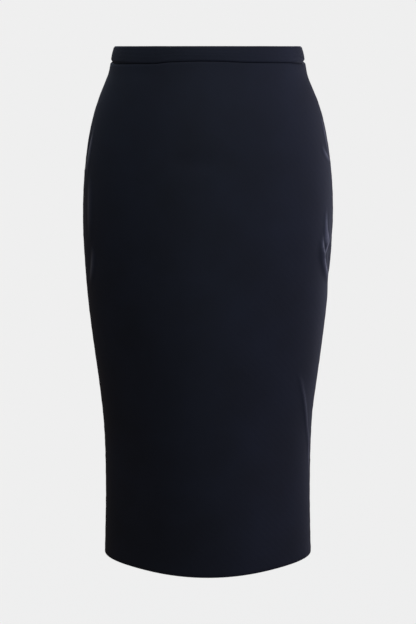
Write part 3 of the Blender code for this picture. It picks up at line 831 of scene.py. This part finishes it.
def waistband(finish):
    """The band: a folded strip carried round the waist, its ends drawn to an edge at the zip."""
    level, inset = band_profile()
    half = BAND_THICKNESS / 2
    from_end = (1 - np.cos(np.linspace(0, QUARTER, BAND_END_COLUMNS))) * BAND_END_RUN
    width = float(section(0.0, "half_width"))
    end = (SLIT / 2 + from_end) / width
    middle = np.linspace(-1, 1, BAND_COLUMNS)[1:-1] * (pi - end[-1])
    turn = joined(end - pi, middle, pi - end[::-1])
    drawn = 1 - rolled(from_end, BAND_END_RUN, BAND_END_DRAWN)
    drawn = joined(drawn, np.ones(len(middle)), drawn[::-1])
    level = BAND_MIDDLE + (level - BAND_MIDDLE) * (1 + (drawn - 1) * 2 * half / BAND_HEIGHT)
    free = eased((pi - np.abs(turn)) * width / BAND_END_CALM)
    wander = BAND_CREASE_WANDER * uneven(turn, BAND_CREASE_TURN)
    creases = BAND_CREASE * uneven(level + wander, BAND_CREASE_PITCH) * free
    sway = BAND_SWAY * uneven(turn, BAND_SWAY_TURN, 2.0)
    sway = sway * eased((level - WAIST_SEAM) / BAND_SWAY_RUN) * free
    nip = side_nip(level, turn)
    inset = half + (inset - half) * drawn - sway - creases * (inset < half) + nip
    level = level + seam_wave(turn) * eased((BAND_WAVER_TOP - level) / BAND_WAVER_RUN)
    points = (bare(level, turn) - outward(level, turn) * inset[..., None])[::-1]
    piece = add_cloth(
        "waistband_cloth", points, grid_faces(*points.shape[:2]), finish, points.shape[1] // 2)
    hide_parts("waistband")
    return thicken(piece, CLOTH)


# ---- sewing ----

def overlock(name, edge, inner, finish):
    """Loops of thread over a cut edge, and the needle thread along their inner ends. Edge and
    inner hold a level, a turn and an inset each, at every place along the loops."""
    edge, inner = (np.stack(np.broadcast_arrays(*ends)) for ends in (edge, inner))
    loop = 2 * pi * np.arange(edge.shape[1]) / LOOP_STEPS
    share = np.stack([0.5 - 0.5 * np.cos(loop), 1 + NEEDLE_SWAY * np.sin(loop)])
    level, turn, inset = edge[:, None, :] + (inner - edge)[:, None, :] * share
    return tubes(name, level, turn, inset + THREAD, THREAD, finish)


def overlock_down(name, centre, away, across, top, foot, inset_at, finish):
    """Overlock down an edge that stands away from a seam's turn, at the inset of each level."""
    level = np.linspace(top, foot, LOOP_STEPS * round((top - foot) / OVERLOCK_PITCH))
    inwards = away - copysign(OVERLOCK_WIDTH, away)
    edge, inner = (centre + x / section(level, across) for x in (away, inwards))
    inset = inset_at(level)
    return overlock(name, (level, edge, inset), (level, inner, inset), finish)


def overlock_round(name, start, end, level, inset, finish):
    """Overlock round a level edge, from one turn to another, its loops hanging below it."""
    run = abs(end - start) * float(section(level, "half_width")) * RING_SHARE
    turn = np.linspace(start, end, LOOP_STEPS * round(run / OVERLOCK_PITCH))
    return overlock(name, (level, turn, inset), (level - OVERLOCK_WIDTH, turn, inset), finish)


def stitches(name, level, turn, inset, finish):
    """Stitches on the inside, one to a row: each lies on the cloth, and both its ends dip in."""
    dip = STITCH_DIP * np.linspace(-1, 1, STITCH_STEPS) ** 4
    return tubes(name, level, turn, inset + 0.5 * THREAD - dip, THREAD, finish)


def turning_edges(name, centre, across, top, foot, finish):
    """Overlock down both edges of a seam's turnings."""
    return [
        overlock_down(name + word, centre, side * TURNING_WIDTH, across, top, foot,
                      lambda level: turning_inset(level, 1.0) + TURNING_CLOTH, finish)
        for word, side in (("_a", -1), ("_b", 1))]


def hem_edges(finish):
    """Overlock round the turned-up hem, over the front, the wearer's left back and right back."""
    level, inset = HEM + HEM_TURN_UP, 2 * HEM_RADIUS
    near_seam = TURNING_WIDTH / float(section(level, "front_depth"))
    near_vent = (VENT_FACING + 2 * MM) / float(section(level, "half_width"))
    spans = {
        "hem_overlock_front": (near_seam - QUARTER, QUARTER - near_seam),
        "hem_overlock_left": (QUARTER + near_seam, pi - near_vent),
        "hem_overlock_right": (-QUARTER - near_seam, near_vent / 3 - pi),
    }
    return [overlock_round(name, *span, level, inset, finish) for name, span in spans.items()]


def band_stitches(finish):
    """Slip stitches that close the band along its inner lower edge."""
    width = float(section(WAIST_SEAM, "half_width"))
    reach = pi - BAND_END_CALM / width
    count = round(2 * reach * BAND_RADIUS / (STITCH + STITCH_GAP))
    starts = np.linspace(-reach, reach, count)[:, None]
    turn = starts + np.linspace(0, STITCH, STITCH_STEPS) / BAND_RADIUS
    slant = SLIP_SLANT * np.linspace(-1, 1, STITCH_STEPS)
    level = WAIST_SEAM + SLIP_RISE + slant
    return stitches("band_slip_stitches", level, turn, BAND_THICKNESS - SLIP_DEPTH, finish)


# ---- the zip ----

def tape_inset(level):
    """The tape's outer face: behind the backs, and from the waist seam up behind the band."""
    step = eased((level - TAPE_STEP_FOOT) / (TAPE_STEP_TOP - TAPE_STEP_FOOT))
    return TAPE_INSET + (TAPE_BAND_INSET - TAPE_INSET) * step


def zip_side(side, word, twill, nylon, thread):
    """One side of the zip: its tape, half of its coil, and the row of stitches that holds them."""
    rows, columns = TAPE_GRID
    level = np.linspace(TAPE_TOP, TAPE_FOOT, rows)[:, None]
    parting = eased((level - PARTING_FOOT) / PARTING_RUN)
    inner = TAPE_GAP + TAPE_PARTING * parting
    across = inner + (TAPE_HALF_WIDTH - inner) * np.linspace(0, 1, columns)[None, :]
    turn = side * (pi - across / section(level, "half_width"))
    points = on_cloth(level, turn, tape_inset(level))
    faces = grid_faces(*turn.shape)[:, ::-side]
    tape = add_cloth("zip_tape_" + word, points, faces, twill, 0)
    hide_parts("zip_tape")
    thicken(tape, TAPE_CLOTH)

    turns = (COIL_TOP - ZIP_END) / COIL_PITCH
    winding = 2 * pi * np.linspace(0, turns, COIL_STEPS * round(turns))[None, :]
    level = COIL_TOP - COIL_PITCH * (winding / (2 * pi) + (0.5 if side > 0 else 0))
    half = (COIL_REACH + COIL_OVERLAP) / 2
    across = half - COIL_OVERLAP - half * np.cos(winding)
    inset = tape_inset(level) + TAPE_CLOTH + COIL_WIRE + COIL_DEPTH * (1 - np.sin(winding))
    turn = side * (pi - across / section(level, "half_width"))
    coil = tubes("zip_coil_" + word, level, turn, inset, COIL_WIRE, nylon, 5)

    count = round((COIL_TOP - ZIP_END) / (STITCH + STITCH_GAP))
    starts = np.linspace(COIL_TOP, ZIP_END, count)[:, None]
    level = starts - np.linspace(0, STITCH, STITCH_STEPS)
    turn = side * (pi - ZIP_STITCHES_OUT / section(level, "half_width"))
    inset = tape_inset(level) + TAPE_CLOTH
    stitched = stitches("zip_stitches_" + word, level, turn, inset, thread)
    return [coil, stitched]


def slider_place():
    """The slider's frame on the band's face at the centre back, and the pull's turning axis."""
    level, turn = np.array([SLIDER_LEVEL, SLIDER_LEVEL + 0.1 * MM]), np.full(2, pi)
    face = bare(level, turn) + outward(level, turn) * band_arch(level)[:, None]
    place, above = (Vector(point) for point in face)
    across, down = Vector((1, 0, 0)), (place - above).normalized()
    turned = Matrix((across, down, across.cross(down))).transposed().to_4x4()
    slider = Matrix.Translation(place) @ turned
    return slider, slider @ Matrix.Translation((0, 0, PIVOT_OUT))


def zip_slider(place, enamel):
    """The slider: two waisted plates round the coil's end, a neck through the band's slit, and a
    rounded head with an arched bail."""
    plate = rounded(BODY_SIZE, 3.2)
    plate[:, 0] *= 1 - BODY_WAIST * eased((plate[:, 1] - BODY_WAIST_TOP) / BODY_WAIST_RUN)
    inner, outer = BODY_DEPTHS
    wedge = rounded(WEDGE_SIZE, 2) - np.array([0, WEDGE_UP])
    bail = prism(rounded(BAIL_SIZE, 3), -BAIL_WIDTH / 2, BAIL_WIDTH / 2, rounded(BAIL_HOLE, 3))
    bail = (bail[0][:, [2, 0, 1]] + np.array([0, 0, PIVOT_OUT]), bail[1])
    shapes = [
        prism(plate, outer - PLATE, outer),
        prism(plate, inner, inner + PLATE),
        prism(wedge, inner + WEDGE_OVERLAP, outer - WEDGE_OVERLAP),
        prism(rounded(NECK_SIZE, 4), *NECK_DEPTHS),
        prism(rounded(HEAD_SIZE, 3), *HEAD_DEPTHS),
        bail,
    ]
    piece = add_metal("slider_casting", shapes, place, enamel, "skirt", SLIDER_EDGE)
    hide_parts("zip_slider")


def zip_pull(pivot, enamel):
    """The pull: an eye round the bail, and a drop that widens down to its round foot."""
    half = PULL_THICKNESS / 2
    eye_half = (PULL_SHOULDER, EYE_DOWN - PULL_TOP)
    middle = np.array([0, EYE_DOWN])
    eye = prism(rounded(eye_half, 3) + middle, -half, half, rounded(EYE_SIZE, 3) + middle)
    top = EYE_DOWN + EYE_SIZE[1] + EYE_WALL
    length, shoulder = PULL_LENGTH - top, PULL_SHOULDER - DROP_INSET
    drop = rounded((1.0, length / 2), 3.2, 2 * OUTLINE_STEPS)
    share = drop[:, 1] / length + 0.5
    drop[:, 0] *= shoulder + (PULL_FOOT - shoulder) * share
    drop[:, 1] += (PULL_LENGTH + top) / 2
    rim_half = half - PULL_RIM_STEP
    rim = prism(drop, -rim_half, rim_half, shrunk(drop, RIM_HOLE))
    web = prism(shrunk(drop, WEB_SHARE), -WEB_THICKNESS / 2, WEB_THICKNESS / 2)
    piece = add_metal("pull_casting", [eye, rim, web], pivot, enamel, "pull", PULL_EDGE)
    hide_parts("zip_pull")


# ---- stage ----

def studio():
    """A pale floor that runs into a pale wall, each evenly lit, with softboxes for the skirt."""
    world = bpy.data.worlds.new("studio")
    world.use_nodes = True
    tree = world.node_tree
    wall = tree.nodes["Background"]
    wall.inputs["Color"].default_value = hex_colour(WALL_COLOUR)
    room = add_node(tree, "Background", [
        ("Color", hex_colour(ROOM_COLOUR)), ("Strength", ROOM_LIGHT)])
    seen = add_node(tree, "LightPath").outputs["Is Camera Ray"]
    mixed = add_node(tree, "MixShader", [
        (0, seen), (1, room.outputs[0]), (2, wall.outputs[0])])
    tree.links.new(mixed.outputs[0], tree.nodes["World Output"].inputs["Surface"])
    bpy.context.scene.world = world
    floor = pale_floor()
    only_floor = linked_to("lit by the ceiling", floor, "INCLUDE")
    no_floor = linked_to("lit by the softboxes", floor, "EXCLUDE")
    topping_up = [1 - ROOM_LIGHT * part for part in hex_colour(ROOM_COLOUR)[:3]]
    add_light("ceiling", "SUN", only_floor, energy=pi, color=topping_up, use_shadow=False)
    for lamp in SOFTBOXES:
        box = add_light(lamp.name, "AREA", no_floor, size=lamp.size, spread=radians(lamp.spread),
                        energy=lamp.power, color=lamp.colour)
        aim = Vector(lamp.target) - Vector(lamp.place)
        settled(box, location=lamp.place, rotation_euler=aim.to_track_quat("-Z", "Y").to_euler())


def pale_floor():
    """A level floor in matt paint, far below the hem, that throws no light back."""
    mesh = bpy.data.meshes.new("floor")
    mesh.from_pydata([(x * FLOOR_REACH, y * FLOOR_REACH, FLOOR_LEVEL)
                      for x, y in ((-1, -1), (1, -1), (1, 1), (-1, 1))], [], [(0, 1, 2, 3)])
    paint, tree, shader = new_material("matt white paint")
    feed(tree, shader, [("Base Color", hex_colour(WALL_COLOUR)), ("Roughness", 1.0),
                        ("Specular IOR Level", 0.0)])
    mesh.materials.append(paint)
    floor = add_object("floor", mesh)
    floor.visible_diffuse = floor.visible_glossy = False
    return floor


def linked_to(name, item, state):
    """A collection that lets a light reach only the item, or everything but the item."""
    made = bpy.data.collections.new(name)
    made.objects.link(item)
    made.collection_objects[0].light_linking.link_state = state
    return made


def add_light(name, kind, reach, **settings):
    """A light with its settings, which falls on what a collection lets it reach."""
    made = add_object(name, settled(bpy.data.lights.new(name, kind), **settings))
    made.light_linking.receiver_collection = reach
    return made


def camera():
    """A short telephoto at the height of the waistband's top, looking a little down."""
    lens = settled(bpy.data.cameras.new("camera"), lens=LENS, sensor_width=SENSOR_WIDTH)
    bpy.context.scene.camera = settled(
        add_object("camera", lens), location=CAMERA_PLACE,
        rotation_euler=(radians(90 - CAMERA_TILT), 0, 0))


def main():
    bpy.context.scene.view_settings.view_transform = "Standard"
    cloth = crepe_suiting("stretch crepe suiting", "#10141f", "#161b29")
    inside = crepe_suiting("suiting, wrong side", "#131722", "#1a1f2c", 0.6)
    thread = spun_thread("spun polyester thread")
    twill, nylon = zip_tape_twill("polyester tape twill"), nylon_coil("nylon monofilament")
    enamel = enamelled_zinc("enamelled zinc")
    front = front_cloth(cloth)
    left = back_left_cloth(cloth)
    right = back_right_cloth(cloth)
    band = waistband(cloth)

    top, foot = WAIST_SEAM - 2 * MM, HEM + 3 * MM
    seams = {
        "left_turnings": (QUARTER, "front_depth", top, foot),
        "right_turnings": (-QUARTER, "front_depth", top, foot),
        "centre_turnings": (pi, "half_width", top, VENT_TOP - 8 * MM),
    }
    sewn = [
        [seam_turnings(name, *seam, inside)] + turning_edges(name, *seam, thread)
        for name, seam in seams.items()]
    hems = hem_edges(thread)
    facing = overlock_down("facing_overlock", pi, -VENT_FACING, "half_width", VENT_TOP,
                           HEM + 4 * MM, lambda level: 2 * HEM_RADIUS, thread)
    slip = band_stitches(thread)
    closing = [zip_side(side, word, twill, nylon, thread)
               for side, word in ((1, "left"), (-1, "right"))]
    slider, pivot = slider_place()
    zip_slider(slider, enamel)
    zip_pull(pivot, enamel)

    studio()
    camera()


main()
